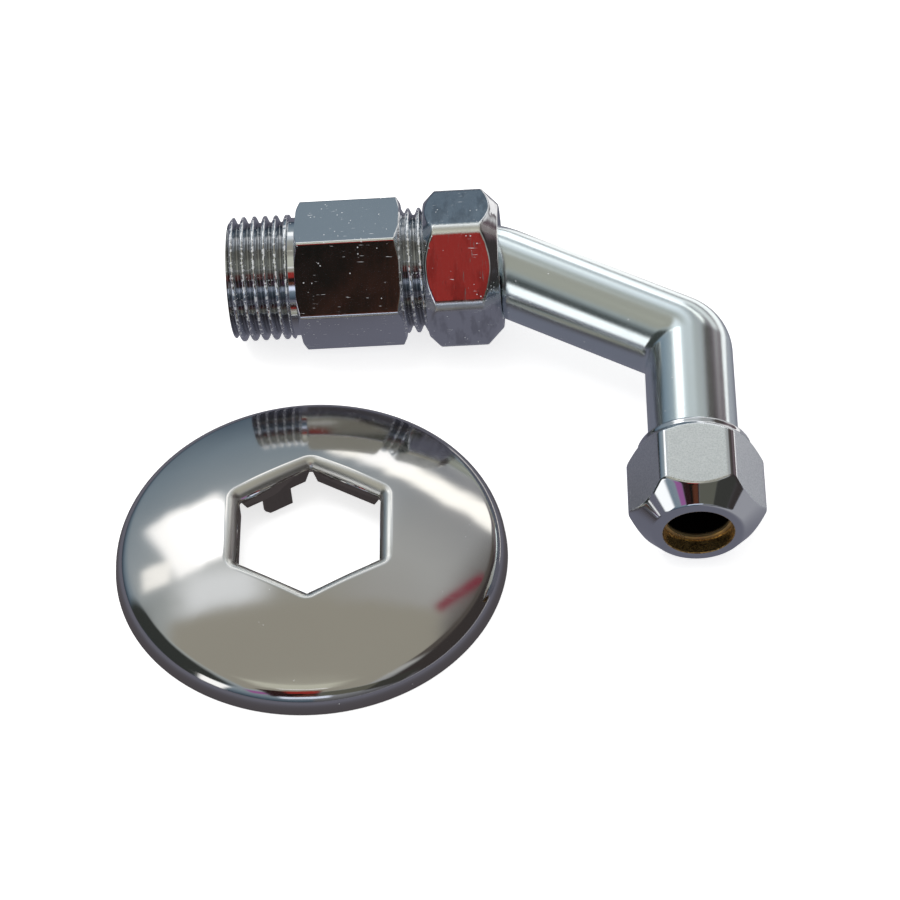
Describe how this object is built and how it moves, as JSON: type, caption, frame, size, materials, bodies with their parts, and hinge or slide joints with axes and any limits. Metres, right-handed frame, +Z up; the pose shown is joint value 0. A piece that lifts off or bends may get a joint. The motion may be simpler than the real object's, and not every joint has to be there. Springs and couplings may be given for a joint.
{
  "type": "elbow fitting",
  "caption": "Chromed union elbow: a threaded wall nipple, a hexagon union nut, an angled tube and a compression nut with olive, with its loose domed wall rosette.",
  "frame": {"origin": "on the table, under the middle of the footprint of the fitting and its rosette", "axes": "+Z up from the table; +X along the table in line with the wall thread, towards the union; -Y towards the compression end"},
  "size_m": [0.1044, 0.0966, 0.0259],
  "materials": {
    "chromed_nipple": "bright chrome over brass, polished hexagon",
    "chromed_union_nut": "bright chrome over brass, polished",
    "gasket": "matt black sealing ring",
    "chromed_elbow": "satin chrome over a brass casting",
    "chromed_compression_nut": "bright chrome over brass, turned cone and finely ground flats",
    "olive_brass": "bare turned brass",
    "rosette_steel": "thin pressed steel, chromed and lightly brushed"
  },
  "bodies": {
    "root": {"wall_nipple": "chromed_nipple", "union_nut": "chromed_union_nut", "union_gasket": "gasket", "elbow_body": "chromed_elbow", "compression_nut": "chromed_compression_nut", "olive": "olive_brass", "wall_rosette": "rosette_steel"}
  },
  "joints": []
}
